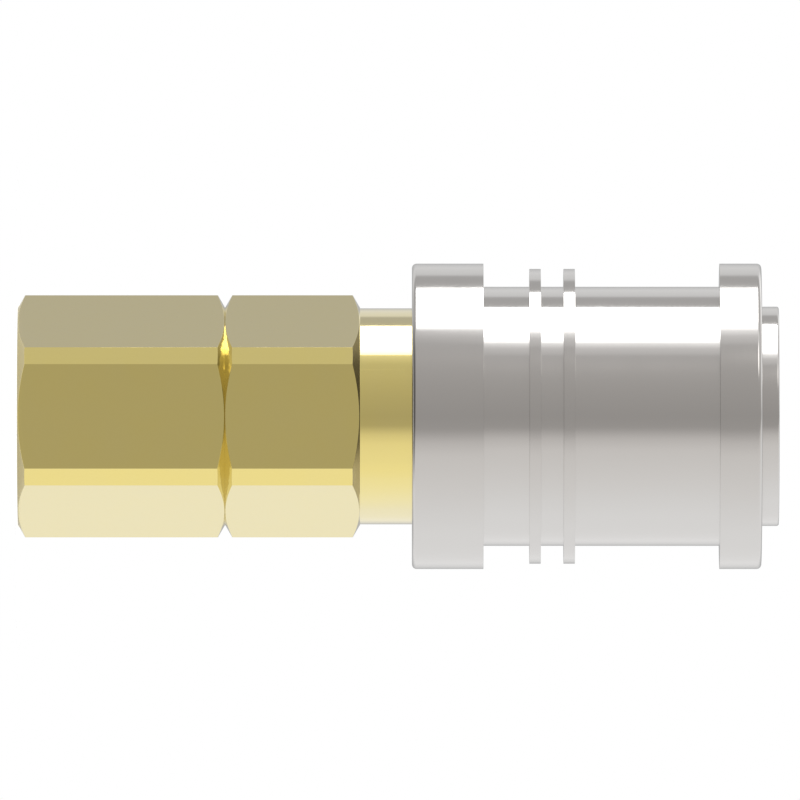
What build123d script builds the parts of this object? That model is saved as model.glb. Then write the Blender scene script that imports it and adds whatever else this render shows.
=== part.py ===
from build123d import *
from math import cos, radians, sin, sqrt, tan
import os

# Socket half of a ball-lock quick coupling for hydraulic lines, with a G 1/2 female inlet.
# +Z runs along the axis, from the inlet's hexagon end face at z = 0 to the nose.
# Sizes are in millimetres. A name that ends in _D is a diameter.

# Clearances
SCREWED_GAP = 0.05      # radial, between two screwed diameters, whose fine threads are left out
SLIDE_GAP = 0.08        # radial, sleeve on the neck
LAND_GAP = 0.06         # radial, sleeve's locking land on the nose
SPRING_GAP = 0.15       # radial, sleeve spring to what is inside and outside it
STEM_GAP = 0.06         # radial, poppet stem in its guide
SEAL_GAP = 0.02         # O-ring to the walls of its groove
SEAT_GAP = 0.03         # valve seal to its seat, and a ball to its tapered seat
RING_GAP = 0.05         # retaining ring to its groove and to the sleeve's ramp

# Hexagons
HEX_FLATS_D = 27.0      # across flats, a spanner size
HEX_CORNERS_D = 29.8    # across the flattened corners
HEX_FACE_D = 26.75      # where the end chamfer meets the end face
HEX_CHAMFER_ANGLE = 30  # from the end face
ADAPTER_HEX_LENGTH = 25.5
HOUSING_HEX_LENGTH = 16.6

# Neck and grip sleeve, outside
NECK_D = 26.6
NECK_VISIBLE = 6.4      # from the hexagon to the sleeve at rest
SLEEVE_LENGTH = 43.0
FLANGE_D = 37.6
REAR_FLANGE_LENGTH = 8.8
FRONT_FLANGE_LENGTH = 5.15
WAIST_D = 31.9
RIB_D = 36.3
RIB_WIDTH = 1.4
RIB_START = 14.45       # sleeve's rear face to the first rib
RIB_PITCH = 4.2
RIB_COUNT = 2
SLEEVE_ROUND = 0.55     # outer edges of both end faces
SLEEVE_TRAVEL = 5.0     # towards the hexagons
SLEEVE_GUIDE_LENGTH = 8.5
RECESS_D = 29.3         # room for the freed balls, inside the sleeve's front end
RAMP_ANGLE = 15         # of the ramp between locking land and recess, from the axis

# Nose, plug bore and locking balls
NOSE_D = 27.0
NOSE_PROUD = 2.15       # beyond the sleeve at rest
NOSE_ROUND = 0.25
HEAD_LENGTH = 13.4      # of the nose diameter
PLUG_BORE_D = 19.6
PLUG_BORE_DEPTH = 23.65
PLUG_MOUTH_CHAMFER = 1.2
BALL_ZONE_D = 19.96     # the bore is a little wider round the balls, and from there to the mouth
BALL_ZONE_SETBACK = 2.0  # its rear end, behind the balls' centres
BALL_D = 4.5
BALL_COUNT = 8
BALL_SETBACK = 4.6      # behind the sleeve's front face
BALL_PROUD = 0.9        # into the plug bore
BALL_SEAT_ANGLE = 30    # half angle of the tapered seat that keeps the ball out of the bore
BALL_HOLE_D = 4.6
LAND_COVER = 0.4        # of the locking land, past the balls' centres

# Retaining ring, an open ring of round wire
RING_WIRE_D = 1.4
RING_RISE = 0.1         # of the wire's centre line above the nose
RING_OPENING = 16       # degrees

# Plug seal in the plug bore
PLUG_SEAL_SECTION_D = 1.78
PLUG_SEAL_GROOVE_D = 22.8
PLUG_SEAL_GROOVE_FRONT = 14.15   # behind the nose's front face
BACKUP_THICKNESS = 1.2
BACKUP_SETBACK = 0.2     # radial, behind the plug bore
BACKUP_CUT = 0.3
BACKUP_CUT_ANGLE = 30

# Body, rear of the balls
BODY_SPIGOT_D = 22.9
BODY_SPIGOT_LENGTH = 9.0
BODY_SEAL_SECTION_D = 1.5
BODY_SEAL_SQUEEZE = 0.05
SEAT_LIP = 1.4          # between the valve seat and the floor of the plug bore
SEAT_OPENING_D = 14.4
CHAMBER_D = 20.0        # valve chamber, through housing and body

# Inlet adapter
THREAD_MAJOR_D = 20.955  # G 1/2
THREAD_MINOR_D = 18.631
THREAD_LENGTH = 17.0
MOUTH_CLEARANCE = 0.2    # radial, countersink beyond the thread's major diameter
DRILL_POINT_ANGLE = 59   # half angle of the drill point
INLET_BORE_D = 13.0
OUTLET_D = 18.4
OUTLET_DEPTH = 3.6
ADAPTER_SPIGOT_D = 21.9
ADAPTER_SPIGOT_LENGTH = 9.0
ADAPTER_SEAL_SECTION_D = 1.7
ADAPTER_SEAL_GROOVE_D = 19.2
LEAD_CHAMFER = 0.5

# Valve
GUIDE_THICKNESS = 2.0
GUIDE_RING_WIDTH = 1.75
GUIDE_SPOKES = 3
GUIDE_SPOKE_WIDTH = 2.6
GUIDE_HUB_D = 8.4
GUIDE_HUB_LENGTH = 6.0
VALVE_WIRE_D = 1.0
VALVE_SPRING_D = 11.0    # mean
VALVE_SPRING_TURNS = 7
STEM_D = 5.0
STEM_REACH = 1.0         # of the stem behind the guide, at rest
BOSS_D = 9.2
BOSS_LENGTH = 2.4
HEAD_FLANGE_D = 16.4
HEAD_FLANGE_LENGTH = 2.6
HEAD_GROOVE_D = 12.5
VALVE_SEAL_SECTION_D = 1.8
HEAD_FACE_GAP = 0.3      # radial, front disc in the seat opening
HEAD_RECESS = 0.2        # front disc behind the floor of the plug bore

# Sleeve spring
SLEEVE_WIRE_D = 1.8
SLEEVE_SPRING_TURNS = 5
SPRING_FACE_ROOM = 0.6   # between the spring's front end and the head of the body

SAFE = 1.0               # a cutting tool reaches this far past what it cuts

# Places along the axis
hexes_meet = ADAPTER_HEX_LENGTH
neck_rear = hexes_meet + HOUSING_HEX_LENGTH
sleeve_rear = neck_rear + NECK_VISIBLE
sleeve_front = sleeve_rear + SLEEVE_LENGTH
nose_front = sleeve_front + NOSE_PROUD
neck_front = sleeve_rear + SLEEVE_GUIDE_LENGTH + SLEEVE_TRAVEL
head_rear = nose_front - HEAD_LENGTH
land_rear = head_rear - SPRING_FACE_ROOM
ball_z = sleeve_front - BALL_SETBACK
land_front = ball_z + LAND_COVER
bore_floor = nose_front - PLUG_BORE_DEPTH
spigot_end = hexes_meet + ADAPTER_SPIGOT_LENGTH
guide_front = spigot_end + GUIDE_THICKNESS
body_rear = neck_front - BODY_SPIGOT_LENGTH
body_seal_rear = body_rear - BODY_SEAL_SECTION_D - 2 * BODY_SEAL_SQUEEZE

# Radii
neck_r = NECK_D / 2
nose_r = NOSE_D / 2
bore_r = PLUG_BORE_D / 2
ball_zone_r = BALL_ZONE_D / 2
chamber_r = CHAMBER_D / 2
guide_bore_r = neck_r + SLIDE_GAP
land_r = nose_r + LAND_GAP
recess_r = RECESS_D / 2
sleeve_spring_r = (neck_r + land_r) / 2
spring_chamber_r = sleeve_spring_r + SLEEVE_WIRE_D / 2 + SPRING_GAP
barrel_r = sleeve_spring_r - SLEEVE_WIRE_D / 2 - SPRING_GAP
body_spigot_r = BODY_SPIGOT_D / 2
body_socket_r = body_spigot_r + SCREWED_GAP
adapter_spigot_r = ADAPTER_SPIGOT_D / 2
adapter_socket_r = adapter_spigot_r + SCREWED_GAP
ball_r = BALL_D / 2
ball_orbit_r = bore_r - BALL_PROUD + ball_r


def turned(*profile):
    """Solid of revolution about Z from a closed profile of (radius, z) points."""
    return revolve(Plane.XZ * make_face(Polyline(*profile, close=True)), axis=Axis.Z)


def tube(inner_r, outer_r, bottom, top):
    """Plain ring about Z."""
    return turned((inner_r, bottom), (outer_r, bottom), (outer_r, top), (inner_r, top))


def rims(part, *places):
    """Circular edges about Z at the given (radius, z) places."""
    circles = part.edges().filter_by(GeomType.CIRCLE)
    return [
        edge
        for edge in circles
        for radius, z in places
        if abs(edge.radius - radius) < 0.001 and abs(edge.arc_center.Z - z) < 0.001
    ]


def hexagon_bar(bottom, top):
    """Hexagon bar with flattened corners on +X and -X, and a chamfer at both ends."""
    flats = RegularPolygon(HEX_FLATS_D / 2, 6, major_radius=False)
    corners = RegularPolygon(HEX_CORNERS_D / 2, 6, major_radius=False, rotation=30)
    bar = Pos(0, 0, bottom) * extrude(flats & corners, top - bottom)
    face_r = HEX_FACE_D / 2
    outside = HEX_CORNERS_D / 2 + SAFE
    rise = (outside - face_r) * tan(radians(HEX_CHAMFER_ANGLE))
    envelope = turned(
        (0, bottom),
        (face_r, bottom),
        (outside, bottom + rise),
        (outside, top - rise),
        (face_r, top),
        (0, top),
    )
    return bar & envelope


def o_ring(centre_r, section_d, z):
    """O-ring about Z."""
    return Pos(0, 0, z) * Torus(centre_r, section_d / 2)


def coil_spring(mean_r, wire_d, bottom, top, turns):
    """Compression spring with both ends ground flat."""
    path = Pos(0, 0, bottom) * Helix((top - bottom) / turns, top - bottom, mean_r)
    wire = sweep(Plane(path @ 0, z_dir=path % 0) * Circle(wire_d / 2), path=path, is_frenet=True)
    reach = mean_r + 2 * wire_d
    below = tube(mean_r - 2 * wire_d, reach, bottom - 2 * wire_d, bottom)
    above = tube(mean_r - 2 * wire_d, reach, top, top + 2 * wire_d)
    return wire - below - above


def inlet_adapter():
    """Hexagon with the inlet thread, and a spigot that screws into the housing."""
    groove_r = ADAPTER_SEAL_GROOVE_D / 2
    groove_front = hexes_meet + ADAPTER_SEAL_SECTION_D + 2 * RING_GAP
    spigot = turned(
        (0, hexes_meet - SAFE),
        (groove_r, hexes_meet - SAFE),
        (groove_r, groove_front),
        (adapter_spigot_r, groove_front),
        (adapter_spigot_r, spigot_end - LEAD_CHAMFER),
        (adapter_spigot_r - LEAD_CHAMFER, spigot_end),
        (0, spigot_end),
    )
    thread_r = THREAD_MINOR_D / 2
    mouth_r = THREAD_MAJOR_D / 2 + MOUTH_CLEARANCE
    inlet_r = INLET_BORE_D / 2
    outlet_r = OUTLET_D / 2
    drill_rise = (thread_r - inlet_r) / tan(radians(DRILL_POINT_ANGLE))
    flare_start = spigot_end - OUTLET_DEPTH - (outlet_r - inlet_r)
    flow = turned(
        (0, -SAFE),
        (mouth_r + SAFE, -SAFE),
        (thread_r, mouth_r - thread_r),
        (thread_r, THREAD_LENGTH),
        (inlet_r, THREAD_LENGTH + drill_rise),
        (inlet_r, flare_start),
        (outlet_r, spigot_end - OUTLET_DEPTH),
        (outlet_r, spigot_end + SAFE),
        (0, spigot_end + SAFE),
    )
    return hexagon_bar(0, hexes_meet) + spigot - flow


def adapter_o_ring():
    """Seal at the root of the adapter's spigot."""
    centre_r = (ADAPTER_SEAL_GROOVE_D + ADAPTER_SEAL_SECTION_D) / 2 + SEAL_GAP
    z = hexes_meet + RING_GAP + ADAPTER_SEAL_SECTION_D / 2
    return o_ring(centre_r, ADAPTER_SEAL_SECTION_D, z)


def hex_housing():
    """Hexagon and neck in one, bored from both ends for adapter, valve and body."""
    neck = turned(
        (0, neck_rear - SAFE),
        (neck_r, neck_rear - SAFE),
        (neck_r, neck_front - LEAD_CHAMFER / 2),
        (neck_r - LEAD_CHAMFER / 2, neck_front),
        (0, neck_front),
    )
    seal_r = ADAPTER_SEAL_GROOVE_D / 2 + ADAPTER_SEAL_SECTION_D + 2 * SEAL_GAP
    seal_front = hexes_meet + ADAPTER_SEAL_SECTION_D + 3 * RING_GAP
    flow = turned(
        (0, hexes_meet - SAFE),
        (seal_r, hexes_meet - SAFE),
        (seal_r, seal_front),
        (adapter_socket_r, seal_front),
        (adapter_socket_r, guide_front),
        (chamber_r, guide_front),
        (chamber_r, body_seal_rear),
        (body_socket_r, body_seal_rear),
        (body_socket_r, neck_front + SAFE),
        (0, neck_front + SAFE),
    )
    return hexagon_bar(hexes_meet, neck_rear) + neck - flow


def body_o_ring():
    """Face seal between the housing's shoulder and the body's rear end."""
    centre_r = body_socket_r - SEAL_GAP - BODY_SEAL_SECTION_D / 2
    return o_ring(centre_r, BODY_SEAL_SECTION_D, (body_seal_rear + body_rear) / 2)


def ball_hole():
    """Cutting tool for one ball's hole, along +X: a straight hole with a tapered seat at the bore."""
    slope = tan(radians(BALL_SEAT_ANGLE))
    apex = ball_orbit_r - (ball_r + SEAT_GAP) / sin(radians(BALL_SEAT_ANGLE))
    inner = bore_r - SAFE
    hole_r = BALL_HOLE_D / 2
    outer = nose_r + SAFE
    profile = [
        (inner, ball_z),
        (inner, ball_z + (inner - apex) * slope),
        (apex + hole_r / slope, ball_z + hole_r),
        (outer, ball_z + hole_r),
        (outer, ball_z),
    ]
    face = Plane.XZ * make_face(Polyline(*profile, close=True))
    return revolve(face, axis=Axis((0, 0, ball_z), (1, 0, 0)))


def ring_place():
    """Radius and height of the retaining wire's centre line, where it just clears the sleeve's ramp."""
    slope = radians(RAMP_ANGLE)
    centre_r = nose_r + RING_RISE
    reach = (centre_r - land_r) * cos(slope) + RING_WIRE_D / 2 + RING_GAP
    return centre_r, land_front + reach / sin(slope)


def valve_seal_place():
    """Radius and height of the valve seal's section, where it just clears the conical seat."""
    centre_r = (HEAD_GROOVE_D + VALVE_SEAL_SECTION_D) / 2 + SEAL_GAP
    seat_sum = SEAT_OPENING_D / 2 + bore_floor - SEAT_LIP
    return centre_r, seat_sum - centre_r - sqrt(2) * (VALVE_SEAL_SECTION_D / 2 + SEAT_GAP)


def socket_body():
    """Nose, plug bore and valve seat in one, with the holes for the locking balls."""
    groove_r, groove_z = ring_place()
    groove_r -= RING_WIRE_D / 2 + RING_GAP
    half_groove = RING_WIRE_D / 2 + RING_GAP
    outside = turned(
        (0, body_rear),
        (body_spigot_r - LEAD_CHAMFER, body_rear),
        (body_spigot_r, body_rear + LEAD_CHAMFER),
        (body_spigot_r, neck_front),
        (barrel_r, neck_front),
        (barrel_r, head_rear),
        (nose_r, head_rear),
        (nose_r, groove_z - half_groove),
        (groove_r, groove_z - half_groove),
        (groove_r, groove_z + half_groove),
        (nose_r, groove_z + half_groove),
        (nose_r, nose_front),
        (0, nose_front),
    )
    outside = fillet(rims(outside, (nose_r, nose_front)), NOSE_ROUND)
    seat_r = SEAT_OPENING_D / 2
    seat_front = bore_floor - SEAT_LIP
    seal_groove_r = PLUG_SEAL_GROOVE_D / 2
    seal_front = nose_front - PLUG_SEAL_GROOVE_FRONT
    seal_rear = seal_front - PLUG_SEAL_SECTION_D - BACKUP_THICKNESS - 4 * RING_GAP
    flow = turned(
        (0, body_rear - SAFE),
        (chamber_r, body_rear - SAFE),
        (chamber_r, seat_front - (chamber_r - seat_r)),
        (seat_r, seat_front),
        (seat_r, bore_floor),
        (bore_r, bore_floor),
        (bore_r, seal_rear),
        (seal_groove_r, seal_rear),
        (seal_groove_r, seal_front),
        (bore_r, seal_front),
        (bore_r, ball_z - BALL_ZONE_SETBACK),
        (ball_zone_r, ball_z - BALL_ZONE_SETBACK),
        (ball_zone_r, nose_front - PLUG_MOUTH_CHAMFER),
        (ball_zone_r + PLUG_MOUTH_CHAMFER + SAFE, nose_front + SAFE),
        (0, nose_front + SAFE),
    )
    body = outside - flow
    for turn in PolarLocations(0, BALL_COUNT):
        body -= turn * ball_hole()
    return body


def probe_o_ring():
    """Seal for the plug, a little proud of the plug bore."""
    centre_r = (PLUG_SEAL_GROOVE_D - PLUG_SEAL_SECTION_D) / 2 - SEAL_GAP
    front = nose_front - PLUG_SEAL_GROOVE_FRONT - BACKUP_THICKNESS - 2 * RING_GAP
    return o_ring(centre_r, PLUG_SEAL_SECTION_D, front - RING_GAP - PLUG_SEAL_SECTION_D / 2)


def probe_backup_ring():
    """Flat ring in front of the plug seal, cut once at a slant so that it can be fitted."""
    front = nose_front - PLUG_SEAL_GROOVE_FRONT - RING_GAP
    outer_r = PLUG_SEAL_GROOVE_D / 2 - RING_GAP
    ring = tube(bore_r + BACKUP_SETBACK, outer_r, front - BACKUP_THICKNESS, front)
    middle = Pos(outer_r, 0, front - BACKUP_THICKNESS / 2)
    cut = Rot(BACKUP_CUT_ANGLE, 0, 0) * Box(outer_r, BACKUP_CUT, 4 * BACKUP_THICKNESS)
    return ring - middle * cut


def lock_ball(turn):
    """One locking ball, resting on its tapered seat."""
    return turn * Pos(ball_orbit_r, 0, ball_z) * Sphere(ball_r)


def grip_sleeve():
    """Sliding sleeve: guide bore, spring chamber, locking land, ramp and recess."""
    waist_r = WAIST_D / 2
    flange_r = FLANGE_D / 2
    ramp_front = land_front + (recess_r - land_r) / tan(radians(RAMP_ANGLE))
    core_r = neck_r / 2
    outside = tube(core_r, waist_r, sleeve_rear, sleeve_front)
    outside += tube(core_r, flange_r, sleeve_rear, sleeve_rear + REAR_FLANGE_LENGTH)
    outside += tube(core_r, flange_r, sleeve_front - FRONT_FLANGE_LENGTH, sleeve_front)
    for rib in range(RIB_COUNT):
        start = sleeve_rear + RIB_START + rib * RIB_PITCH
        outside += tube(core_r, RIB_D / 2, start, start + RIB_WIDTH)
    ends = rims(outside, (flange_r, sleeve_rear), (flange_r, sleeve_front))
    outside = fillet(ends, SLEEVE_ROUND)
    inside = turned(
        (0, sleeve_rear - SAFE),
        (guide_bore_r + LEAD_CHAMFER + SAFE, sleeve_rear - SAFE),
        (guide_bore_r, sleeve_rear + LEAD_CHAMFER),
        (guide_bore_r, sleeve_rear + SLEEVE_GUIDE_LENGTH),
        (spring_chamber_r, sleeve_rear + SLEEVE_GUIDE_LENGTH),
        (spring_chamber_r, land_rear),
        (land_r, land_rear),
        (land_r, land_front),
        (recess_r, ramp_front),
        (recess_r, max(ramp_front, sleeve_front) + SAFE),
        (0, max(ramp_front, sleeve_front) + SAFE),
    )
    return outside - inside


def sleeve_spring():
    """Spring between the neck's front face and the sleeve's land."""
    return coil_spring(sleeve_spring_r, SLEEVE_WIRE_D, neck_front, land_rear, SLEEVE_SPRING_TURNS)


def retaining_ring():
    """Open wire ring in the nose's groove, which stops the sleeve at its ramp."""
    centre_r, z = ring_place()
    section = Plane.XZ * Pos(centre_r, z) * Circle(RING_WIRE_D / 2)
    ring = revolve(section, axis=Axis.Z, revolution_arc=360 - RING_OPENING)
    return Rot(0, 0, RING_OPENING / 2) * ring


def poppet_back():
    """Height of the poppet's rear face, where its spring presses."""
    return valve_seal_place()[1] - VALVE_SEAL_SECTION_D / 2 - SEAL_GAP - HEAD_FLANGE_LENGTH


def valve_poppet():
    """Stem and head of the shut-off valve, with the groove for its seal."""
    seal_z = valve_seal_place()[1]
    groove_half = VALVE_SEAL_SECTION_D / 2 + SEAL_GAP
    back = poppet_back()
    stem_r = STEM_D / 2
    stem_rear = spigot_end - STEM_REACH
    face_r = SEAT_OPENING_D / 2 - HEAD_FACE_GAP
    face = bore_floor - HEAD_RECESS
    boss_r = BOSS_D / 2
    return turned(
        (0, stem_rear),
        (stem_r - LEAD_CHAMFER, stem_rear),
        (stem_r, stem_rear + LEAD_CHAMFER),
        (stem_r, back - BOSS_LENGTH - (boss_r - stem_r) / 2),
        (boss_r, back - BOSS_LENGTH),
        (boss_r, back),
        (HEAD_FLANGE_D / 2, back),
        (HEAD_FLANGE_D / 2, seal_z - groove_half),
        (HEAD_GROOVE_D / 2, seal_z - groove_half),
        (HEAD_GROOVE_D / 2, seal_z + groove_half),
        (face_r, seal_z + groove_half),
        (face_r, face - LEAD_CHAMFER),
        (face_r - LEAD_CHAMFER, face),
        (0, face),
    )


def valve_o_ring():
    """Seal on the poppet that closes on the conical seat."""
    centre_r, z = valve_seal_place()
    return o_ring(centre_r, VALVE_SEAL_SECTION_D, z)


def valve_guide():
    """Spider clamped between adapter and housing: outer ring, spokes, and a hub for the stem."""
    ring_inner = adapter_spigot_r - GUIDE_RING_WIDTH
    seat_r = (VALVE_SPRING_D + VALVE_WIRE_D) / 2 + SPRING_GAP
    hub_r = GUIDE_HUB_D / 2
    guide = tube(ring_inner, adapter_spigot_r, spigot_end, guide_front)
    guide += tube(0, seat_r, spigot_end, guide_front)
    guide += tube(0, hub_r, spigot_end, spigot_end + GUIDE_HUB_LENGTH)
    spoke_length = ring_inner + GUIDE_RING_WIDTH / 2
    spoke = Pos(spoke_length / 2, 0, (spigot_end + guide_front) / 2) * Box(
        spoke_length, GUIDE_SPOKE_WIDTH, GUIDE_THICKNESS
    )
    for turn in PolarLocations(0, GUIDE_SPOKES):
        guide += turn * spoke
    stem_hole = STEM_D / 2 + STEM_GAP
    return guide - Pos(0, 0, guide_front) * Cylinder(stem_hole, 4 * GUIDE_HUB_LENGTH)


def valve_spring():
    """Spring between the guide and the poppet's head."""
    return coil_spring(
        VALVE_SPRING_D / 2, VALVE_WIRE_D, guide_front, poppet_back(), VALVE_SPRING_TURNS
    )


pieces = {
    "inlet_adapter": inlet_adapter(),
    "adapter_o_ring": adapter_o_ring(),
    "hex_housing": hex_housing(),
    "valve_guide": valve_guide(),
    "valve_spring": valve_spring(),
    "valve_poppet": valve_poppet(),
    "valve_o_ring": valve_o_ring(),
    "body_o_ring": body_o_ring(),
    "socket_body": socket_body(),
    "probe_o_ring": probe_o_ring(),
    "probe_backup_ring": probe_backup_ring(),
    "sleeve_spring": sleeve_spring(),
    "grip_sleeve": grip_sleeve(),
    "retaining_ring": retaining_ring(),
}
for number, turn in enumerate(PolarLocations(0, BALL_COUNT), start=1):
    pieces[f"lock_ball_{number}"] = lock_ball(turn)

os.makedirs("parts", exist_ok=True)
for name, piece in pieces.items():
    export_step(piece, f"parts/{name}.step")
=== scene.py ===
from math import cos, pi, radians, sin, tan

import bmesh
import bpy
import numpy as np
from mathutils import Matrix


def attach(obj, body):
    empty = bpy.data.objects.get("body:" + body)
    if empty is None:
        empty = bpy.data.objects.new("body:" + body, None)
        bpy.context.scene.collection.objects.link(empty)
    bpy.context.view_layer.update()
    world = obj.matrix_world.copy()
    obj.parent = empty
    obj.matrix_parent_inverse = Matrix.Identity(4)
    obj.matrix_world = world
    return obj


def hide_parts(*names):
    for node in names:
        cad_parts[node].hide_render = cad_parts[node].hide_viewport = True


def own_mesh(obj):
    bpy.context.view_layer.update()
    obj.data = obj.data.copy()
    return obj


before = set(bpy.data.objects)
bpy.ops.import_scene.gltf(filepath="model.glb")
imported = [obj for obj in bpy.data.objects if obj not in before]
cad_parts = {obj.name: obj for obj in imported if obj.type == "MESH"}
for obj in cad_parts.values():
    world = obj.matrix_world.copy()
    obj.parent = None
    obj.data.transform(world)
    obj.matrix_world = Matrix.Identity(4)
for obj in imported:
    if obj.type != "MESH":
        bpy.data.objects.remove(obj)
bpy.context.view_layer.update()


# Long hexagon: the inlet adapter. Free-cutting brass, cut from drawn hexagon bar: the flats keep the
# bar's drawn skin, the ends and the bore are turned, and the G 1/2 inlet thread is tapped.
# Its spigot screws into the short hexagon, on an O-ring. Sizes are in millimetres.

HEX_FLATS = 27.0
HEX_CORNERS = 29.8
HEX_FACE_R = 13.375
HEX_CHAMFER = tan(radians(30))
HEX_EDGE_R = 0.01
CHAMFER_EDGE_R = 0.04
EDGE_BREAK = 0.08
ARC_STEPS = 5
HEXES_MEET = 25.5
THREAD_PITCH = 1.814
THREAD_MINOR_R = 9.3155
THREAD_MAJOR_R = 10.4775
THREAD_SHARP = 0.96049
THREAD_FADE = 1.8
THREAD_ROWS = 132
THREAD_END = 17.0
COUNTERSINK_R = 10.6775
ADAPTER_END = 34.5
HEXAGON_BREAKS = [CHAMFER_EDGE_R] * 4 + [EDGE_BREAK] * 11


def broken(corners, radius):
    """Corners of a closed outline made into arcs: an arc of radius r starts r tan(turn / 2) before its
    corner, at most 0.45 of the shorter side, and is the rational curve of weight cos(turn / 2).
    corners has shape (corners, columns, 2), and the result (corners, ARC_STEPS, columns, 2)."""
    back = np.roll(corners, 1, axis=0) - corners
    on = np.roll(corners, -1, axis=0) - corners
    back_length = np.linalg.norm(back, axis=-1, keepdims=True)
    on_length = np.linalg.norm(on, axis=-1, keepdims=True)
    back = back / back_length
    on = on / on_length
    half_turn = np.arccos(np.clip((back * on).sum(-1, keepdims=True), -1, 1)) / 2
    weight = np.sin(half_turn)
    size = np.broadcast_to(np.asarray(radius, float), (len(corners),))[:, None, None]
    reach = np.minimum(size / np.tan(half_turn), 0.45 * np.minimum(back_length, on_length))
    start = corners + back * reach
    end = corners + on * reach
    t = np.linspace(0, 1, ARC_STEPS)[None, :, None, None]
    first, middle, last = (1 - t) ** 2, 2 * t * (1 - t) * weight[:, None], t ** 2
    curve = first * start[:, None] + middle * corners[:, None] + last * end[:, None]
    return curve / (first + middle + last)


def hexagon_outline():
    """Outline of the bar: twelve sides in turn, flattened corners at 0, 60 ... degrees and flats between.
    Sides k and k + 1 meet where both distances from the axis hold. Each side is divided evenly."""
    side = np.arange(12)
    reach = np.where(side % 2 == 0, HEX_CORNERS / 2, HEX_FLATS / 2)
    angle = side * pi / 6
    along = (np.roll(reach, -1) - reach * cos(pi / 6)) / sin(pi / 6)
    x = reach * np.cos(angle) - along * np.sin(angle)
    y = reach * np.sin(angle) + along * np.cos(angle)
    arcs = broken(np.stack([x, y], -1)[:, None, :], HEX_EDGE_R)[:, :, 0]
    between = np.linspace(arcs[:, -1], np.roll(arcs[:, 0], -1, axis=0), 16)[1:-1].transpose(1, 0, 2)
    points = np.concatenate([arcs, between], axis=1).reshape(-1, 2)
    return np.arctan2(points[:, 1], points[:, 0]), np.linalg.norm(points, axis=1)


def section(corners, columns):
    """Corners of a section, each (radius, height), where either may vary round the piece, as one array."""
    return np.stack([
        np.stack([np.broadcast_to(np.asarray(value, float), (columns,)) for value in corner], -1)
        for corner in corners
    ])


def revolved(rows, angles):
    """Surface of revolution: row i at angle t is (r cos t, r sin t, z), with (r, z) = rows[i] at t."""
    r, z = rows[..., 0], rows[..., 1]
    return np.stack([r * np.cos(angles), r * np.sin(angles), z + 0 * r], -1)


def piece_from(name, points, rows_join=True):
    """Mesh of one or more grids of points in millimetres, shape (grids, rows, columns, 3) or less by
    the first. Columns always join up. Rows that shrink to a point are merged, and faces turn outwards."""
    grids = points[None] if points.ndim == 3 else points
    count, rows, columns = grids.shape[:3]
    g = np.arange(count)[:, None, None] * rows * columns
    i = np.arange(rows if rows_join else rows - 1)[None, :, None]
    j = np.arange(columns)[None, None, :]
    below, above = g + i * columns, g + (i + 1) % rows * columns
    right = (j + 1) % columns
    quads = np.stack([below + j, below + right, above + right, above + j], -1).reshape(-1, 4)
    vertices = grids.reshape(-1, 3) / 1000
    a, b, c, d = (vertices[quads[:, k]] for k in range(4))
    if (a * np.cross(b, c)).sum() + (a * np.cross(c, d)).sum() < 0:
        quads = quads[:, ::-1]
    mesh = bpy.data.meshes.new(name)
    mesh.from_pydata(vertices, [], quads.tolist())
    if not rows_join:
        merged = bmesh.new()
        merged.from_mesh(mesh)
        bmesh.ops.remove_doubles(merged, verts=merged.verts, dist=1e-8)
        merged.to_mesh(mesh)
        merged.free()
    piece = bpy.data.objects.new(name, mesh)
    bpy.context.collection.objects.link(piece)
    return piece


def fitted(piece, node, body, slot, *materials):
    """Smooth shading that keeps flat faces flat, the finish, and the fixed place on its CAD body."""
    for material in materials:
        piece.data.materials.append(material)
    piece.data.shade_smooth()
    piece.data.set_sharp_from_angle(angle=radians(35))
    weighted = piece.modifiers.new("weighted normals", "WEIGHTED_NORMAL")
    weighted.keep_sharp = True
    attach(piece, body)
    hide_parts(node)
    return piece


def colour(code):
    """sRGB hex code to linear red, green, blue and 1."""
    parts = np.array([int(code[k:k + 2], 16) for k in (1, 3, 5)]) / 255
    linear = np.where(parts <= 0.04045, parts / 12.92, ((parts + 0.055) / 1.055) ** 2.4)
    return (*linear, 1.0)


def add(tree, kind, inputs=None, **settings):
    """Adds a node with its settings. inputs gives each socket a value, or the output that feeds it."""
    node = tree.nodes.new(kind)
    for name, value in settings.items():
        setattr(node, name, value)
    for socket, value in (inputs or {}).items():
        if isinstance(value, bpy.types.NodeSocket):
            tree.links.new(value, node.inputs[socket])
        else:
            node.inputs[socket].default_value = value
    return node


def new_material(name):
    """Empty material with its output node, as (material, tree, output)."""
    material = bpy.data.materials.new(name)
    material.use_nodes = True
    tree = material.node_tree
    tree.nodes.clear()
    return material, tree, add(tree, "ShaderNodeOutputMaterial")


def turning_lines(tree, place):
    """Coordinates (radius, height), on which a pattern gives the rings that turning leaves: they follow
    height on round faces and radius on flat ones."""
    apart = add(tree, "ShaderNodeSeparateXYZ", {0: place})
    across = add(tree, "ShaderNodeCombineXYZ", {0: apart.outputs[0], 1: apart.outputs[1]})
    radius = add(tree, "ShaderNodeVectorMath", {0: across.outputs[0]}, operation="LENGTH")
    lines = add(tree, "ShaderNodeCombineXYZ", {0: radius.outputs["Value"], 1: apart.outputs[2]})
    return lines.outputs[0]


# Depth of the finest marks on each piece, in metres.
MARK_DEPTH = 0.00002


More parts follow.
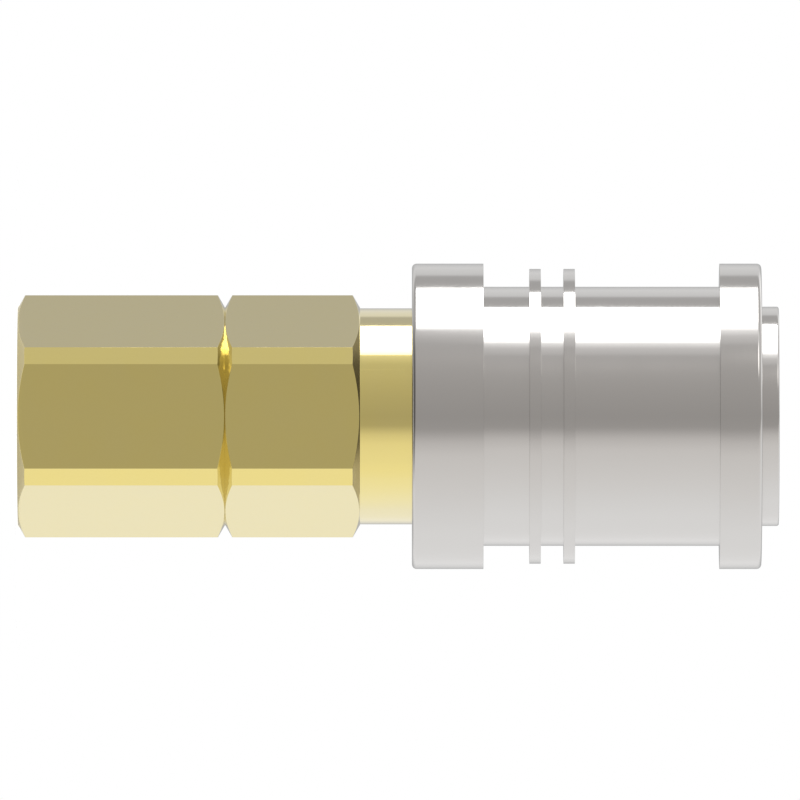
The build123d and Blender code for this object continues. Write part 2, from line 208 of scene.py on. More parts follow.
def machined(tree, place, lines, fine_scale, cloud_scale, low, high, strength):
    """Surface of machined metal: marks along the lines and a faint cloud of handling. Both carry the
    roughness from low to high, and the marks make the bump. Scales are in waves a metre, so that 3300
    draws marks 0.3 mm apart. Gives cloud, roughness and bump."""
    fine = add(tree, "ShaderNodeTexNoise", {"Vector": lines, "Scale": fine_scale, "Detail": 2.0})
    cloud = add(tree, "ShaderNodeTexNoise", {"Vector": place, "Scale": cloud_scale, "Detail": 3.0})
    both = add(tree, "ShaderNodeMix", {0: 0.4, 2: cloud.outputs[0], 3: fine.outputs[0]})
    rough = add(tree, "ShaderNodeMapRange", {"Value": both.outputs[0], 3: low, 4: high})
    bump = add(
        tree, "ShaderNodeBump",
        {"Strength": strength, "Distance": MARK_DEPTH, "Height": fine.outputs[0]},
    )
    return cloud.outputs[0], rough.outputs[0], bump.outputs[0]


def bright_brass(name, drawn):
    """Free-cutting brass, bright: a pale yellow that whitens towards the edges under its thin clear
    passivation. Turned faces have fine rings, drawn ones fine lines along the bar. Feed marks of
    0.08 mm and drawing lines of 0.05 mm are drawn at 0.3 mm, so that they show."""
    material, tree, output = new_material(name)
    place = add(tree, "ShaderNodeTexCoord").outputs["Object"]
    if drawn:
        lines = add(tree, "ShaderNodeMapping", {"Vector": place, "Scale": (1, 1, 0.012)}).outputs[0]
    else:
        lines = turning_lines(tree, place)
    low, high = (0.035, 0.075) if drawn else (0.06, 0.12)
    cloud, rough, bump = machined(tree, place, lines, 3300.0, 260.0, low, high, 0.05)
    tone = add(
        tree, "ShaderNodeMix",
        {0: cloud, 6: colour("#F0DF8D"), 7: colour("#EEDE93")},
        data_type="RGBA",
    )
    slant = add(tree, "ShaderNodeLayerWeight", {"Blend": 0.5})
    veil = add(tree, "ShaderNodeMapRange", {"Value": slant.outputs["Facing"], 1: 0.13, 2: 0.5})
    shader = add(tree, "ShaderNodeBsdfPrincipled", {
        "Base Color": tone.outputs[2],
        "Metallic": 1.0,
        "Roughness": rough,
        "Normal": bump,
        "Coat Weight": veil.outputs[0],
        "Coat IOR": 3.2,
        "Coat Roughness": 0.08,
        "Coat Tint": (0.82, 0.82, 0.82, 1.0),
    })
    tree.links.new(shader.outputs[0], output.inputs[0])
    return material


drawn_brass = bright_brass("drawn brass", True)
turned_brass = bright_brass("turned brass", False)
hex_angles, hex_r = hexagon_outline()
hex_columns = len(hex_r)
hex_rise = (hex_r - HEX_FACE_R) * HEX_CHAMFER


def hexagon_sides(bottom, top):
    """End chamfer, side and end chamfer of a hexagon: the side starts where a cone of 30 degrees from
    the end face reaches the outline, at (r - face radius) tan 30 above the face."""
    return [
        (HEX_FACE_R, bottom),
        (hex_r, bottom + hex_rise),
        (hex_r, top - hex_rise),
        (HEX_FACE_R, top),
    ]


def tapped_thread():
    """Internal thread: the radius is a triangle wave of z / pitch - angle / 360 degrees, of 0.96 pitch
    height with a sixth cut off both ends, that fades out at the thread's end. The mouth's 45 degree
    countersink wins where it is wider."""
    z = np.linspace(THREAD_END - 0.1, 0.25, THREAD_ROWS)[:, None]
    wave = np.abs(2 * ((z / THREAD_PITCH - hex_angles / (2 * pi)) % 1) - 1)
    height = THREAD_SHARP * THREAD_PITCH
    depth = np.clip(wave * height - height / 6, 0, THREAD_MAJOR_R - THREAD_MINOR_R)
    fade = np.clip((THREAD_END - 0.4 - z) / THREAD_FADE, 0, 1)
    r = np.maximum(THREAD_MINOR_R + depth * fade * fade * (3 - 2 * fade), COUNTERSINK_R - z)
    return np.stack([r, z + 0 * r], -1)


# In turn: hexagon, neck of the seal, screwed spigot, mouth behind the guide, flow bore and thread.
adapter_corners = section(hexagon_sides(0, HEXES_MEET) + [
    (9.6, HEXES_MEET),
    (9.6, 27.3),
    (10.95, 27.3),
    (10.95, ADAPTER_END - 0.5),
    (10.45, ADAPTER_END),
    (9.2, ADAPTER_END),
    (9.2, 30.9),
    (6.5, 28.2),
    (6.5, 18.69),
    (THREAD_MINOR_R, THREAD_END),
    (COUNTERSINK_R, 0),
], hex_columns)
adapter_arcs = broken(adapter_corners, HEXAGON_BREAKS)
adapter_rows = np.concatenate([
    adapter_arcs[:-1].reshape(-1, hex_columns, 2),
    tapped_thread(),
    adapter_arcs[-1],
])
inlet_adapter = piece_from("inlet_adapter_brass", revolved(adapter_rows, hex_angles))


def drawn_sides(piece):
    """Gives the strip of faces between the two chamfers the second material."""
    strip = 2 * ARC_STEPS - 1
    index = np.zeros(len(piece.data.polygons), np.int32)
    index[strip * hex_columns:(strip + 1) * hex_columns] = 1
    piece.data.polygons.foreach_set("material_index", index)


fitted(inlet_adapter, "inlet_adapter", "coupler", "turned_brass", turned_brass, drawn_brass)
drawn_sides(inlet_adapter)


# Short hexagon and neck: the housing. The same brass bar, turned down to the neck that the sleeve
# slides on, and bored from both ends for the adapter, the valve and the body.

HOUSING_HEX_END = 42.1
NECK_R = 13.3
NECK_END = 62.0
GUIDE_TOP = 36.5


def lathed(name, corners, breaks, angles):
    """Ring turned from its section: the corners are broken by the radii in breaks and carried round."""
    rows = broken(section(corners, len(angles)), breaks).reshape(-1, len(angles), 2)
    return piece_from(name, revolved(rows, angles))


# In turn: hexagon and neck, and inside the body's socket, the valve's chamber, the adapter's socket and
# the room of its seal.
hex_housing = lathed("hex_housing_brass", hexagon_sides(HEXES_MEET, HOUSING_HEX_END) + [
    (NECK_R, HOUSING_HEX_END),
    (NECK_R, NECK_END - 0.25),
    (NECK_R - 0.25, NECK_END),
    (11.5, NECK_END),
    (11.5, 51.4),
    (10.0, 51.4),
    (10.0, GUIDE_TOP),
    (11.0, GUIDE_TOP),
    (11.0, 27.35),
    (11.34, 27.35),
    (11.34, HEXES_MEET),
], HEXAGON_BREAKS, hex_angles)
fitted(hex_housing, "hex_housing", "coupler", "turned_brass", turned_brass, drawn_brass)
drawn_sides(hex_housing)


# Grip sleeve: free-cutting steel, turned all over and bright zinc-nickel plated, with two end flanges
# and two thin ribs for the fingers. Inside it has the guide bore, the spring's chamber, the land that
# holds the balls in, and the ramp and recess that free them.

FLANGE_R = 18.8
WAIST_R = 15.95
RIB_R = 18.15
LAND_Z = 79.65
END_ROUND = 0.55
SHARP_EDGE_R = 0.015
BORE_EDGE_R = 0.05


def finished_steel(name, code, low, high, ring_mm, strength):
    """Steel: a neutral grey metal with its roughness from low to high, and faint rings that its turning
    or drawing left, ring_mm apart."""
    material, tree, output = new_material(name)
    place = add(tree, "ShaderNodeTexCoord").outputs["Object"]
    lines = turning_lines(tree, place)
    _, rough, bump = machined(tree, place, lines, 1000 / ring_mm, 180.0, low, high, strength)
    shader = add(tree, "ShaderNodeBsdfPrincipled", {
        "Base Color": colour(code),
        "Metallic": 1.0,
        "Roughness": rough,
        "Normal": bump,
    })
    tree.links.new(shader.outputs[0], output.inputs[0])
    return material


# Bright plating makes the turned steel smooth. Feed marks of about 0.1 mm are drawn at 0.3 mm, so that
# they show.
plated_steel = finished_steel("bright plated steel", "#CDCBC9", 0.08, 0.16, 0.3, 0.05)


def round_steps(count):
    """Angles of even steps round the axis, from 0."""
    return np.arange(count) * 2 * pi / count


# In turn: rear flange, two ribs, waist and front flange, and inside the mouth, the ramp, the land, the
# spring's chamber and the guide bore.
turn_angles = round_steps(240)
sleeve_breaks = [BORE_EDGE_R, END_ROUND] + [SHARP_EDGE_R] * 12 + [END_ROUND] + [BORE_EDGE_R] * 8
grip_sleeve = lathed("grip_sleeve_steel", [
    (13.88, 48.5),
    (FLANGE_R, 48.5),
    (FLANGE_R, 57.3),
    (WAIST_R, 57.3),
    (WAIST_R, 62.95),
    (RIB_R, 62.95),
    (RIB_R, 64.35),
    (WAIST_R, 64.35),
    (WAIST_R, 67.15),
    (RIB_R, 67.15),
    (RIB_R, 68.55),
    (WAIST_R, 68.55),
    (WAIST_R, 86.35),
    (FLANGE_R, 86.35),
    (FLANGE_R, 91.5),
    (14.75, 91.5),
    (14.65, 91.37),
    (13.56, 87.3),
    (13.56, LAND_Z),
    (14.48, LAND_Z),
    (14.48, 57.0),
    (13.38, 57.0),
    (13.38, 49.0),
], sleeve_breaks, turn_angles)
fitted(grip_sleeve, "grip_sleeve", "sleeve", "plated_steel", plated_steel)


# Nose and body: the same plated steel, turned in one. It holds the plug bore, the valve's conical
# seat and eight tapered holes for the locking balls, and screws into the neck.

BALL_COUNT = 8
BALL_Z = 86.9
BALL_ORBIT = 11.15
BALL_R = 2.25
BALL_COLUMNS = 48
RING_Z = 90.347
RING_R = 13.6
GROOVE_HALF = 0.75
NOSE_R = 13.5
NOSE_END = 93.65
NOSE_ROUND = 0.25
PLUG_R = 9.8

# In turn: screwed end, the spring's seat and the nose with the ring's groove, and inside the lead-in, the
# plug bore with the groove of its seal, the valve's mouth and cone, and its chamber.
body_breaks = [BORE_EDGE_R] * 10 + [NOSE_ROUND] + [BORE_EDGE_R] * 13
socket_body = lathed("socket_body_steel", [
    (10.95, 53.0),
    (11.45, 53.5),
    (11.45, NECK_END),
    (12.38, NECK_END),
    (12.38, 80.25),
    (NOSE_R, 80.25),
    (NOSE_R, RING_Z - GROOVE_HALF),
    (12.85, RING_Z - GROOVE_HALF),
    (12.85, RING_Z + GROOVE_HALF),
    (NOSE_R, RING_Z + GROOVE_HALF),
    (NOSE_R, NOSE_END),
    (11.18, NOSE_END),
    (9.98, 92.45),
    (9.98, 84.9),
    (PLUG_R, 84.9),
    (PLUG_R, 79.5),
    (11.4, 79.5),
    (11.4, 76.32),
    (PLUG_R, 76.32),
    (PLUG_R, 70.0),
    (7.2, 70.0),
    (7.2, 68.6),
    (10.0, 65.8),
    (10.0, 53.0),
], body_breaks, turn_angles)


def turned_copies(x, y, z, count):
    """Evenly spaced copies of some points round the axis: (x cos t - y sin t, x sin t + y cos t, z)."""
    turn = round_steps(count)[:, None, None]
    return np.stack([
        x * np.cos(turn) - y * np.sin(turn),
        x * np.sin(turn) + y * np.cos(turn),
        z + 0 * turn,
    ], -1)


def round_about(axis_places, radii):
    """Round surfaces about radial axes through the ball circle, one for each ball: a point at u along
    the axis and w from it lies at (u, w cos s, z + w sin s), turned by the ball's angle."""
    s = round_steps(BALL_COLUMNS)
    u = np.asarray(axis_places, float)[:, None] + 0 * s
    w = np.asarray(radii, float)[:, None]
    return turned_copies(u, w * np.cos(s), BALL_Z + w * np.sin(s), BALL_COUNT)


def cut_out(piece, cutter):
    """Takes the cutter's volume out of the piece, and removes the cutter."""
    cut = piece.modifiers.new("cut", "BOOLEAN")
    cut.object = cutter
    cut.solver = "EXACT"
    graph = bpy.context.evaluated_depsgraph_get()
    mesh = bpy.data.meshes.new_from_object(piece.evaluated_get(graph))
    piece.modifiers.clear()
    piece.data = mesh
    bpy.data.objects.remove(cutter)


# Each hole is 4.6 mm wide, and tapers at 30 degrees inside radius 10.574, so that no ball falls through.
ball_holes = piece_from(
    "ball_holes",
    round_about([8.8, 8.8, 10.574, 14.5, 14.5], [0, 1.276, 2.3, 2.3, 0]),
    rows_join=False,
)
cut_out(socket_body, ball_holes)
fitted(socket_body, "socket_body", "coupler", "plated_steel", plated_steel)


# Locking balls: hardened bearing steel, ground and lapped to a mirror. Each lies in its tapered hole,
# 0.9 mm proud of the plug bore, and the sleeve's land holds it there.

# Lapping leaves no pattern, only a faint haze of handling over millimetres.
ball_steel = finished_steel("lapped bearing steel", "#D2D2D3", 0.03, 0.07, 3.0, 0.005)
latitude = np.linspace(0, pi, 25)
all_balls = round_about(BALL_ORBIT - BALL_R * np.cos(latitude), BALL_R * np.sin(latitude))
for number, ball_points in enumerate(all_balls, start=1):
    ball = piece_from(f"lock_ball_{number}_steel", ball_points, rows_join=False)
    fitted(ball, f"lock_ball_{number}", f"lock_ball_{number}", "ball_steel", ball_steel)


# Retaining ring: an open ring of round spring wire, spread over the nose and let go in its groove. The
# sleeve's ramp stops on it.

def closed_ends(rows):
    """Rows of an open bar, with a point in the middle of each end before and after them."""
    first = np.broadcast_to(rows[:1].mean(1, keepdims=True), rows[:1].shape)
    last = np.broadcast_to(rows[-1:].mean(1, keepdims=True), rows[-1:].shape)
    return np.concatenate([first, rows, last])


def bent_bar(name, centres, out, up, outline):
    """Bar along a path: each row is centre + outline x out + outline y up, and both ends close on
    their centre. centres, out and up have shape (rows, 3), and outline (columns, 2)."""
    rows = centres[:, None] + outline[None, :, :1] * out[:, None] + outline[None, :, 1:] * up[:, None]
    return piece_from(name, closed_ends(rows), rows_join=False)


def round_wire(diameter, columns):
    """Outline of round wire."""
    s = round_steps(columns)
    return np.stack([np.cos(s), np.sin(s)], -1) * diameter / 2


# Drawn spring wire: a darker grey with a satin surface from drawing and stress relief.
wire_steel = finished_steel("drawn spring wire", "#A9A9AC", 0.2, 0.32, 0.4, 0.15)

RING_OPENING = 16
ring_turn = np.linspace(radians(RING_OPENING / 2), radians(360 - RING_OPENING / 2), 200)
ring_out = np.stack([np.cos(ring_turn), np.sin(ring_turn), 0 * ring_turn], -1)
straight_up = np.zeros_like(ring_out) + (0, 0, 1)
retaining_ring = bent_bar(
    "retaining_ring_wire",
    ring_out * RING_R + (0, 0, RING_Z),
    ring_out,
    straight_up,
    round_wire(1.4, 20),
)
fitted(retaining_ring, "retaining_ring", "retaining_ring", "spring_steel", wire_steel)


# Springs: hard-drawn spring wire, coiled, with both ends ground flat. The sleeve spring lies round the
# body, between the neck and the sleeve's land. The valve spring lies between the guide and the poppet.

STEPS_A_TURN = 48
POPPET_BACK = 63.795


def coiled(name, mean_r, wire, bottom, top, turns):
    """Helical wire: the path climbs evenly from bottom to top over its turns, each section is square
    to the path, and what lies past the two ground ends is flattened onto their planes."""
    t = np.linspace(0, 1, STEPS_A_TURN * turns + 1)
    angle = 2 * pi * turns * t
    climb = (top - bottom) / (2 * pi * turns * mean_r)
    out = np.stack([np.cos(angle), np.sin(angle), 0 * t], -1)
    along = np.stack([-np.sin(angle), np.cos(angle), 0 * t + climb], -1)
    up = np.cross(out, along)
    up *= -1 / np.linalg.norm(up, axis=1, keepdims=True)
    up *= np.sign(up[:, 2:])
    centres = out * mean_r + np.stack([0 * t, 0 * t, bottom + (top - bottom) * t], -1)
    spring = bent_bar(name, centres, out, up, round_wire(wire, 18))
    places = np.empty(len(spring.data.vertices) * 3)
    spring.data.vertices.foreach_get("co", places)
    places[2::3] = np.clip(places[2::3], bottom / 1000, top / 1000)
    spring.data.vertices.foreach_set("co", places)
    return spring


# In use each shortens by its joint's travel, 5 mm of 17.65 mm and 6 mm of 27.295 mm, towards its fixed
# end. Here each is coiled at full length, on a mesh of its own.
sleeve_spring = coiled("sleeve_spring_wire", 13.43, 1.8, NECK_END, LAND_Z, 5)
fitted(sleeve_spring, "sleeve_spring", "coupler", "spring_steel", wire_steel)
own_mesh(sleeve_spring)
valve_spring = coiled("valve_spring_wire", 5.5, 1.0, GUIDE_TOP, POPPET_BACK, 7)
fitted(valve_spring, "valve_spring", "coupler", "spring_steel", wire_steel)
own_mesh(valve_spring)


# Valve poppet: turned brass, a stem and a head in one. Its O-ring closes on the body's cone until a
# plug pushes it back.

VALVE_COLUMNS = 120
POPPET_EDGE_R = 0.06
valve_angles = round_steps(VALVE_COLUMNS)

# In turn: stem, the spring's collar, head, groove of the seal and the rim in front of it.
poppet_corners = section([
    (0, 33.5),
    (2.0, 33.5),
    (2.5, 34.0),
    (2.5, 60.345),
    (4.6, 61.395),
    (4.6, POPPET_BACK),
    (8.2, POPPET_BACK),
    (8.2, 66.395),
    (6.25, 66.395),
    (6.25, 68.235),
    (6.9, 68.235),
    (6.9, 69.3),
    (6.4, 69.8),
    (0, 69.8),
], VALVE_COLUMNS)
poppet_rows = np.concatenate([
    poppet_corners[:1],
    broken(poppet_corners, POPPET_EDGE_R)[1:-1].reshape(-1, VALVE_COLUMNS, 2),
    poppet_corners[-1:],
])
valve_poppet = piece_from("valve_poppet_brass", revolved(poppet_rows, valve_angles), rows_join=False)
fitted(valve_poppet, "valve_poppet", "valve", "turned_brass", turned_brass)


# Valve guide: a brass spider clamped between the adapter and the housing, turned, with three milled
# windows for the flow. Its hub guides the poppet's stem.

GUIDE_BORE_R = 2.56
HUB_R = 4.2
HUB_END = 40.5
WINDOW_IN_R = 6.15
WINDOW_OUT_R = 9.2
SPOKE_HALF = 1.3

# In turn: the rim that is clamped, and the hub.
valve_guide = lathed("valve_guide_brass", [
    (GUIDE_BORE_R, ADAPTER_END),
    (10.95, ADAPTER_END),
    (10.95, GUIDE_TOP),
    (WINDOW_IN_R, GUIDE_TOP),
    (HUB_R, GUIDE_TOP),
    (HUB_R, HUB_END),
    (GUIDE_BORE_R, HUB_END),
], EDGE_BREAK, valve_angles)


def windows():
    """Three milled windows between the spokes at 0, 120 and 240 degrees: each stops SPOKE_HALF short of
    a spoke's middle. Its outline is a ring sector, extruded past both faces."""
    t = np.linspace(0, 1, 24)
    inner_edge = np.arcsin(SPOKE_HALF / WINDOW_IN_R)
    outer_edge = np.arcsin(SPOKE_HALF / WINDOW_OUT_R)
    inner = inner_edge + t * (2 * pi / 3 - 2 * inner_edge)
    outer = outer_edge + t[::-1] * (2 * pi / 3 - 2 * outer_edge)
    outline = np.concatenate([
        np.stack([WINDOW_IN_R * np.cos(inner), WINDOW_IN_R * np.sin(inner)], -1),
        np.stack([WINDOW_OUT_R * np.cos(outer), WINDOW_OUT_R * np.sin(outer)], -1),
    ])
    middle = np.array([7.6 * cos(pi / 3), 7.6 * sin(pi / 3)]) + 0 * outline
    flat = np.stack([middle, outline, outline, middle])
    z = np.array([33.0, 33.0, 38.0, 38.0])[:, None] + 0 * flat[..., 0]
    return turned_copies(flat[..., 0], flat[..., 1], z, 3)


cut_out(valve_guide, piece_from("guide_windows", windows(), rows_join=False))
fitted(valve_guide, "valve_guide", "coupler", "turned_brass", turned_brass)


# O-rings: moulded black nitrile rubber, lightly greased, with a fine mould texture. They lie in grooves,
# and seal the adapter, the body, the valve and the plug.

def nitrile_rubber():
    """Moulded nitrile: near black, satin under a film of grease, with a grain of 0.05 mm that is drawn
    at 0.15 mm, and a grey bloom in patches of a millimetre."""
    material, tree, output = new_material("black nitrile rubber")
    place = add(tree, "ShaderNodeTexCoord").outputs["Object"]
    grain = add(tree, "ShaderNodeTexNoise", {"Vector": place, "Scale": 6600.0, "Detail": 2.0})
    bloom = add(tree, "ShaderNodeTexNoise", {"Vector": place, "Scale": 900.0, "Detail": 3.0})
    tone = add(
        tree, "ShaderNodeMix",
        {0: bloom.outputs[0], 6: colour("#161618"), 7: colour("#26262A")},
        data_type="RGBA",
    )
    rough = add(tree, "ShaderNodeMapRange", {"Value": bloom.outputs[0], 3: 0.28, 4: 0.5})
    bump = add(
        tree, "ShaderNodeBump",
        {"Strength": 0.2, "Distance": MARK_DEPTH, "Height": grain.outputs[0]},
    )
    shader = add(tree, "ShaderNodeBsdfPrincipled", {
        "Base Color": tone.outputs[2],
        "Roughness": rough.outputs[0],
        "IOR": 1.52,
        "Normal": bump.outputs[0],
    })
    tree.links.new(shader.outputs[0], output.inputs[0])
    return material


def torus(centre_r, section_d, z):
    """O-ring: a circle of the section's diameter carried round the axis."""
    s = round_steps(28)
    turn = round_steps(160)
    circle = np.stack([centre_r + section_d / 2 * np.cos(s), z + section_d / 2 * np.sin(s)], -1)
    return revolved(np.broadcast_to(circle[:, None], (len(s), len(turn), 2)), turn)


rubber = nitrile_rubber()

# Each seal: its node and body, the radius of its centre, the diameter of its section, and its height.
seals = [
    ("adapter_o_ring", "coupler", 10.47, 1.7, 26.4),
    ("body_o_ring", "coupler", 10.73, 1.5, 52.2),
    ("valve_o_ring", "valve", 7.17, 1.8, 67.315),
    ("probe_o_ring", "coupler", 10.49, 1.78, 77.26),
]
for node_name, body_name, centre_r, section_d, z in seals:
    seal = piece_from(f"{node_name}_rubber", torus(centre_r, section_d, z))
    fitted(seal, node_name, body_name, "seal_rubber", rubber)


# Support ring of the plug seal: white PTFE, turned, and cut once at a slant so that it can be fitted. It
# lies beside the seal in its groove.

SUPPORT_RADII = (10.0, 11.35)
SUPPORT_HEIGHTS = (78.25, 79.45)
SUPPORT_SLANT = radians(30)
SUPPORT_GAP = 0.3


def turned_ptfe():
    """PTFE: an opaque waxy white with a soft sheen, and turning rings of 0.2 mm."""
    material, tree, output = new_material("turned ptfe")
    place = add(tree, "ShaderNodeTexCoord").outputs["Object"]
    rings = add(tree, "ShaderNodeTexNoise", {"Vector": turning_lines(tree, place), "Scale": 5000.0})
    cloud = add(tree, "ShaderNodeTexNoise", {"Vector": place, "Scale": 500.0, "Detail": 2.0})
    tone = add(
        tree, "ShaderNodeMix",
        {0: cloud.outputs[0], 6: colour("#E6E4DC"), 7: colour("#F0EFE9")},
        data_type="RGBA",
    )
    bump = add(
        tree, "ShaderNodeBump",
        {"Strength": 0.1, "Distance": MARK_DEPTH, "Height": rings.outputs[0]},
    )
    shader = add(tree, "ShaderNodeBsdfPrincipled", {
        "Base Color": tone.outputs[2],
        "Roughness": 0.38,
        "IOR": 1.35,
        "Subsurface Weight": 0.15,
        "Subsurface Scale": 0.0005,
        "Normal": bump.outputs[0],
    })
    tree.links.new(shader.outputs[0], output.inputs[0])
    return material


def support_ring():
    """Flat ring with a slanted cut: a rectangle with broken corners is carried round the axis, and each
    point's angle is shifted by its height times tan 30 over the radius."""
    inner, outer = SUPPORT_RADII
    low, high = SUPPORT_HEIGHTS
    corners = np.array([(inner, low), (outer, low), (outer, high), (inner, high)])[:, None]
    outline = broken(corners, EDGE_BREAK).reshape(-1, 2)
    half_gap = SUPPORT_GAP / 2 / cos(SUPPORT_SLANT) / outer
    turn = np.linspace(half_gap, 2 * pi - half_gap, 161)[:, None]
    angle = turn - (outline[:, 1] - (low + high) / 2) * tan(SUPPORT_SLANT) / outer
    r, z = outline[:, 0] + 0 * angle, outline[:, 1] + 0 * angle
    return closed_ends(np.stack([r * np.cos(angle), r * np.sin(angle), z], -1))


backup_ring = piece_from("probe_backup_ring_ptfe", support_ring(), rows_join=False)
fitted(backup_ring, "probe_backup_ring", "coupler", "backup_ptfe", turned_ptfe())


# Floor: a plain pale disc that the coupling stands on. It is small and fades into the room, so that it
# shows little in the metal.

FLOOR_R = 34
FLOOR_SOLID_R = 15
FLOOR_CLEAR_R = 32
FLOOR_GLOW = 0.7
FLOOR_MIRRORED_GLOW = 0.36


def pale_floor():
    """Matt, with light of its own for the camera, and less for reflections, so that it shows as white
    and keeps its shadows. It fades out towards its rim, and is clear from below, like a glass table."""
    material, tree, output = new_material("pale floor")
    path = add(tree, "ShaderNodeLightPath")
    mirrored = add(
        tree, "ShaderNodeMath",
        {0: path.outputs["Is Glossy Ray"], 1: path.outputs["Is Transmission Ray"]},
        operation="MAXIMUM",
    )
    some = add(
        tree, "ShaderNodeMath",
        {0: mirrored.outputs[0], 1: FLOOR_MIRRORED_GLOW},
        operation="MULTIPLY",
    )
    glow = add(
        tree, "ShaderNodeMath",
        {0: path.outputs["Is Camera Ray"], 1: FLOOR_GLOW, 2: some.outputs[0]},
        operation="MULTIPLY_ADD",
    )
    shader = add(tree, "ShaderNodeBsdfPrincipled", {
        "Base Color": colour("#C6C6C6"),
        "Roughness": 0.9,
        "Specular IOR Level": 0.0,
        "Emission Color": (1, 1, 1, 1),
        "Emission Strength": glow.outputs[0],
    })
    clear = add(tree, "ShaderNodeBsdfTransparent")
    place = add(tree, "ShaderNodeTexCoord").outputs["Object"]
    radius = add(tree, "ShaderNodeVectorMath", {0: place}, operation="LENGTH").outputs["Value"]
    fade = add(
        tree, "ShaderNodeMapRange",
        {"Value": radius, 1: FLOOR_SOLID_R / 1000, 2: FLOOR_CLEAR_R / 1000},
        interpolation_type="SMOOTHSTEP",
    )
    behind = add(tree, "ShaderNodeNewGeometry").outputs["Backfacing"]
    open_part = add(tree, "ShaderNodeMath", {0: fade.outputs[0], 1: behind}, operation="MAXIMUM")
    both = add(
        tree, "ShaderNodeMixShader",
        {0: open_part.outputs[0], 1: shader.outputs[0], 2: clear.outputs[0]},
    )
    tree.links.new(both.outputs[0], output.inputs[0])
    return material


floor_turn = round_steps(96)
floor_rows = section([(FLOOR_R, 0), (0, 0)], len(floor_turn))
floor = piece_from("floor", revolved(floor_rows, floor_turn), rows_join=False)
floor.data.materials.append(pale_floor())


# Studio: a pale room, darker behind the camera, and a strip light at the coupling's -X side. Narrow
# cards soften the strip's edge, and two weak ones fill in beside it. All sizes here are in metres.

ROOM_LEVEL = 1.09

# The walls, by angle: level, and its share of blue.
ROOM_WALLS = [
    (-180, 0.46, 1.00), (-170, 0.50, 1.00), (-160, 0.76, 1.00), (-148, 0.97, 1.00),
    (-100, 0.98, 1.00), (-80, 0.94, 0.99), (-60, 0.89, 0.97), (-30, 0.81, 0.95),
    (-20, 0.69, 0.94), (-10, 0.44, 0.93), (0, 0.42, 0.93), (20, 0.46, 0.93),
    (44, 0.52, 0.94), (58, 0.55, 0.96), (66, 0.70, 0.97), (114, 0.52, 0.97),
    (132, 0.50, 0.98), (136, 0.79, 1.00), (152, 0.80, 1.00), (160, 0.68, 1.00),
    (170, 0.50, 1.00), (180, 0.46, 1.00),
]

# The round patches: angle, elevation, change of the room's level, and where each ends and is full, in
# degrees from its middle. Two are dark, low at the camera's side and low behind. Two are bright, a small
# lamp above the camera's left and a soft one high behind.
ROOM_PATCHES = [
    (28, -65, -0.76, 52, 25),
    (-160, -54, -0.33, 32, 8),
    (46, 18, 3.0, 17, 5),
    (145, 50, 0.7, 38, 12),
]


def studio_room():
    """Room light by direction round the coupling's axis: angle 0 looks to the camera's side, -Y, and
    +90 to the strip light's, -X. Round patches with soft edges change it. The camera itself sees plain
    white."""
    world = bpy.data.worlds.new("studio")
    bpy.context.scene.world = world
    world.use_nodes = True
    tree = world.node_tree
    tree.nodes.clear()
    direction = add(tree, "ShaderNodeTexCoord").outputs["Generated"]
    apart = add(tree, "ShaderNodeSeparateXYZ", {0: direction})
    x = add(tree, "ShaderNodeMath", {0: apart.outputs[0], 1: -1.0}, operation="MULTIPLY")
    y = add(tree, "ShaderNodeMath", {0: apart.outputs[1], 1: -1.0}, operation="MULTIPLY")
    angle = add(tree, "ShaderNodeMath", {0: x.outputs[0], 1: y.outputs[0]}, operation="ARCTAN2")
    share = add(tree, "ShaderNodeMapRange", {"Value": angle.outputs[0], 1: -pi, 2: pi})
    walls = add(tree, "ShaderNodeValToRGB", {0: share.outputs[0]})
    while len(walls.color_ramp.elements) < len(ROOM_WALLS):
        walls.color_ramp.elements.new(0.5)
    for element, (degrees, _, _) in zip(walls.color_ramp.elements, ROOM_WALLS):
        element.position = (degrees + 180) / 360
    for element, (_, level, blue) in zip(walls.color_ramp.elements, ROOM_WALLS):
        element.color = (level, level * (1 + blue) / 2, level * blue, 1)
    level = ROOM_LEVEL
    for aside, height, change, far, close in ROOM_PATCHES:
        flat = cos(radians(height))
        way = (-sin(radians(aside)) * flat, -cos(radians(aside)) * flat, sin(radians(height)))
        near = add(tree, "ShaderNodeVectorMath", {0: direction, 1: way}, operation="DOT_PRODUCT")
        patch = add(
            tree, "ShaderNodeMapRange",
            {"Value": near.outputs["Value"], 1: cos(radians(far)), 2: cos(radians(close)), 4: change},
            interpolation_type="SMOOTHSTEP",
        )
        level = add(tree, "ShaderNodeMath", {0: level, 1: patch.outputs[0]}, operation="ADD").outputs[0]
    room = add(tree, "ShaderNodeBackground", {"Color": walls.outputs[0], "Strength": level})
    plain = add(tree, "ShaderNodeBackground", {"Color": (1, 1, 1, 1), "Strength": 1.0})
    path = add(tree, "ShaderNodeLightPath")
    shown = add(
        tree, "ShaderNodeMixShader",
        {0: path.outputs["Is Camera Ray"], 1: room.outputs[0], 2: plain.outputs[0]},
    )
    add(tree, "ShaderNodeOutputWorld", {"Surface": shown.outputs[0]})


studio_room()


def area_light(name, width, bottom, top, level):
    """Even light from bottom to top, in metres, that looks as bright as its level from any side. The
    camera doesn't see it."""
    light = bpy.data.lights.new(name, "AREA")
    light.shape = "RECTANGLE"
    light.size = width
    light.size_y = top - bottom
    light.energy = level * pi * light.size * light.size_y
    held = bpy.data.objects.new(name, light)
    held.visible_camera = False
    bpy.context.collection.objects.link(held)
    return held


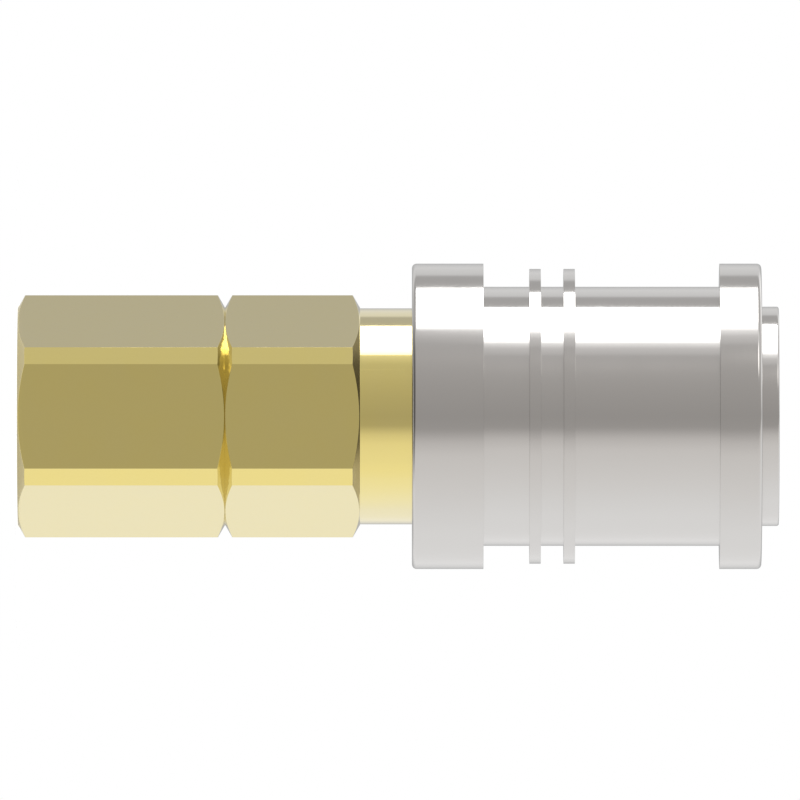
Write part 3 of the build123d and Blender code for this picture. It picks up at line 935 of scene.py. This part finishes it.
LIGHT_TOP = 0.155
STRIP_WIDTH = 0.336
STRIP_LEVEL = 4.2
STRIP_X = -0.5
STRIP_Y = 0.034

strip_light = area_light("strip light", STRIP_WIDTH, 0, LIGHT_TOP, STRIP_LEVEL)
strip_light.matrix_world = Matrix((
    (0, 0, -1, STRIP_X),
    (1, 0, 0, STRIP_Y),
    (0, -1, 0, LIGHT_TOP / 2),
    (0, 0, 0, 1),
))

# Each card faces the axis: angle and distance of its middle, width, bottom, top and level. Three soften
# the strip light's edge, and two fill in beside it, above the hexagons only.
CARDS = [
    (73.75, 0.525, 0.0229, 0.0, LIGHT_TOP, 2.4),
    (71.3, 0.525, 0.022, 0.0, LIGHT_TOP, 1.7),
    (69.2, 0.525, 0.0165, 0.0, LIGHT_TOP, 1.1),
    (66.5, 0.42, 0.042, 0.055, 0.355, 0.35),
    (59.6, 0.42, 0.06, 0.055, 0.355, 0.12),
]
for number, (aside, distance, width, bottom, top, level) in enumerate(CARDS, start=1):
    card = area_light(f"card {number}", width, bottom, top, level)
    out_x, out_y = -sin(radians(aside)), -cos(radians(aside))
    card.matrix_world = Matrix((
        (-out_y, 0, out_x, distance * out_x),
        (out_x, 0, out_y, distance * out_y),
        (0, 1, 0, (bottom + top) / 2),
        (0, 0, 0, 1),
    ))


# Camera: level, looking along +Y from far away with a long lens, on its side, so that the coupling's
# axis runs from left to right with the inlet at the left.

PHOTO_WIDTH = 0.0985
PHOTO_MIDDLE_X = -0.00201
PHOTO_MIDDLE_Z = 0.04703

camera = bpy.data.cameras.new("camera")
camera.sensor_width = 36
camera.lens = 1700
camera.clip_end = 20
camera_object = bpy.data.objects.new("camera", camera)
camera_y = -PHOTO_WIDTH * camera.lens / camera.sensor_width
camera_object.matrix_world = Matrix((
    (0, -1, 0, PHOTO_MIDDLE_X),
    (0, 0, -1, camera_y),
    (1, 0, 0, PHOTO_MIDDLE_Z),
    (0, 0, 0, 1),
))
bpy.context.collection.objects.link(camera_object)
bpy.context.scene.camera = camera_object
bpy.context.scene.view_settings.view_transform = "Standard"
